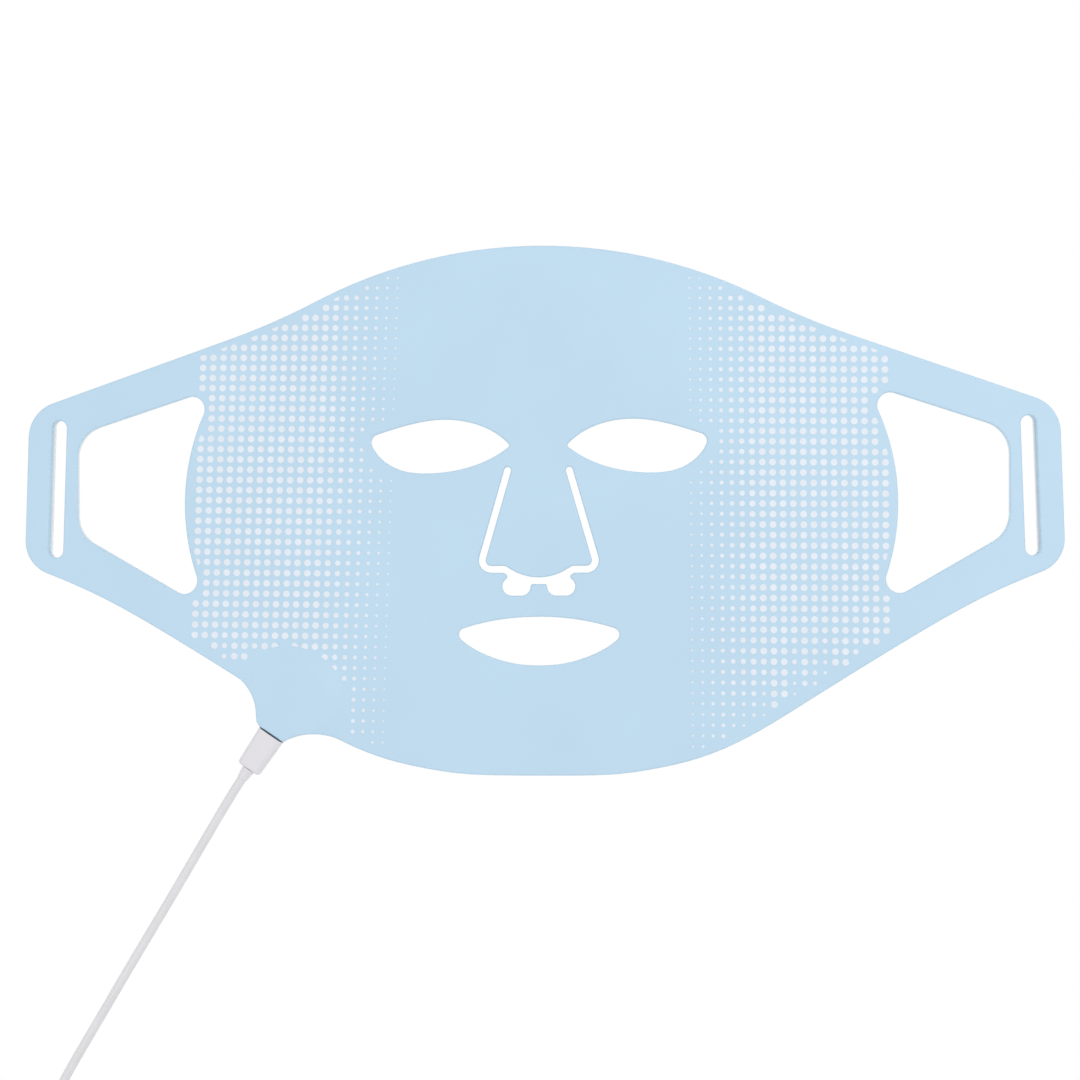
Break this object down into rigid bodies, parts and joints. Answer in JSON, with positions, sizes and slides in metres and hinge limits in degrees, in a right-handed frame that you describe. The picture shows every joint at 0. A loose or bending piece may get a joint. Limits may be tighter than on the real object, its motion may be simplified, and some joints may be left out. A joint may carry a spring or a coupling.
{
  "type": "led face mask",
  "caption": "Flexible silicone light therapy face mask with open eyes and mouth, a nose flap, strap slots at both ends and a plug-in lead.",
  "frame": {"origin": "on the surface that the mask lies on, skin side down, under the middle of the mask", "axes": "+X to the wearer's left, +Y to the forehead, +Z out of the front of the mask"},
  "size_m": [0.3908, 0.3818, 0.0125],
  "materials": {
    "cover_silicone": "satin light blue silicone",
    "liner_silicone": "translucent white silicone",
    "circuit_film": "white coated flexible film",
    "red_lamp": "clear resin over a pale yellow die",
    "infrared_lamp": "clear resin",
    "case_plastic": "fine matte",
    "plug_steel": "nickel plated",
    "black_plastic": "matte",
    "white_plastic": "matte",
    "contact_metal": "gold plated",
    "board": "solder mask",
    "capacitor": "ceramic",
    "plug_white": "smooth moulded",
    "cord_white": "smooth matte jacket",
    "tie_fabric": "woven hook and loop"
  },
  "bodies": {
    "face_panel": {"face_liner_centre": "liner_silicone", "flex_circuit_centre": "circuit_film", "front_cover_centre": "cover_silicone", "infrared_leds_centre": "infrared_lamp", "red_leds_centre": "red_lamp"},
    "right_cheek": {"face_liner_right_cheek": "liner_silicone", "flex_circuit_right_cheek": "circuit_film", "front_cover_right_cheek": "cover_silicone", "infrared_leds_right_cheek": "infrared_lamp", "red_leds_right_cheek": "red_lamp", "port_case_tray": "case_plastic", "port_case_lid": "case_plastic", "usb_c_port_shell": "plug_steel", "usb_c_port_tongue": "black_plastic", "usb_c_port_contacts": "contact_metal", "control_board": "board", "control_chips": "black_plastic", "board_capacitors": "capacitor"},
    "right_wing": {"face_liner_right_wing": "liner_silicone", "front_cover_right_wing": "cover_silicone"},
    "left_cheek": {"face_liner_left_cheek": "liner_silicone", "flex_circuit_left_cheek": "circuit_film", "front_cover_left_cheek": "cover_silicone", "infrared_leds_left_cheek": "infrared_lamp", "red_leds_left_cheek": "red_lamp"},
    "left_wing": {"face_liner_left_wing": "liner_silicone", "front_cover_left_wing": "cover_silicone"},
    "nose_flap": {"face_liner_nose": "liner_silicone", "flex_circuit_nose": "circuit_film", "front_cover_nose": "cover_silicone", "infrared_leds_nose": "infrared_lamp", "red_leds_nose": "red_lamp"},
    "lead": {"plug_shell": "plug_steel", "plug_insert": "black_plastic", "plug_grip": "plug_white", "plug_collar": "plug_white", "lead_cord": "cord_white", "lead_coil": "cord_white", "coil_tie": "tie_fabric", "lead_tail": "cord_white", "far_plug_grip": "plug_white", "far_plug_shell": "plug_steel", "far_plug_tongue": "white_plastic", "far_plug_contacts": "contact_metal"}
  },
  "joints": [
    {"name": "right_cheek_bend", "type": "hinge", "parent": "face_panel", "child": "right_cheek", "pos_m": [-0.07, 0, 0.0025], "axis": [0, -1, 0], "range_deg": [-25, 40], "stiffness_Nm_per_rad": 0.05},
    {"name": "right_wing_bend", "type": "hinge", "parent": "right_cheek", "child": "right_wing", "pos_m": [-0.118, 0, 0.0025], "axis": [0, -1, 0], "range_deg": [-25, 40], "stiffness_Nm_per_rad": 0.05},
    {"name": "left_cheek_bend", "type": "hinge", "parent": "face_panel", "child": "left_cheek", "pos_m": [0.07, 0, 0.0025], "axis": [0, 1, 0], "range_deg": [-25, 40], "stiffness_Nm_per_rad": 0.05},
    {"name": "left_wing_bend", "type": "hinge", "parent": "left_cheek", "child": "left_wing", "pos_m": [0.118, 0, 0.0025], "axis": [0, 1, 0], "range_deg": [-25, 40], "stiffness_Nm_per_rad": 0.05},
    {"name": "nose_flap_lift", "type": "hinge", "parent": "face_panel", "child": "nose_flap", "pos_m": [0, 0.0153, 0.0025], "axis": [-1, 0, 0], "range_deg": [0, 40], "stiffness_Nm_per_rad": 0.02},
    {"name": "plug_pull", "type": "slide", "parent": "right_cheek", "child": "lead", "axis": [-0.5621, -0.8271, 0], "range_m": [0, 0.012]}
  ],
  "couplings": [
    {"joint": "right_wing_bend", "follows": "right_cheek_bend", "ratio": 1},
    {"joint": "left_wing_bend", "follows": "left_cheek_bend", "ratio": 1}
  ]
}
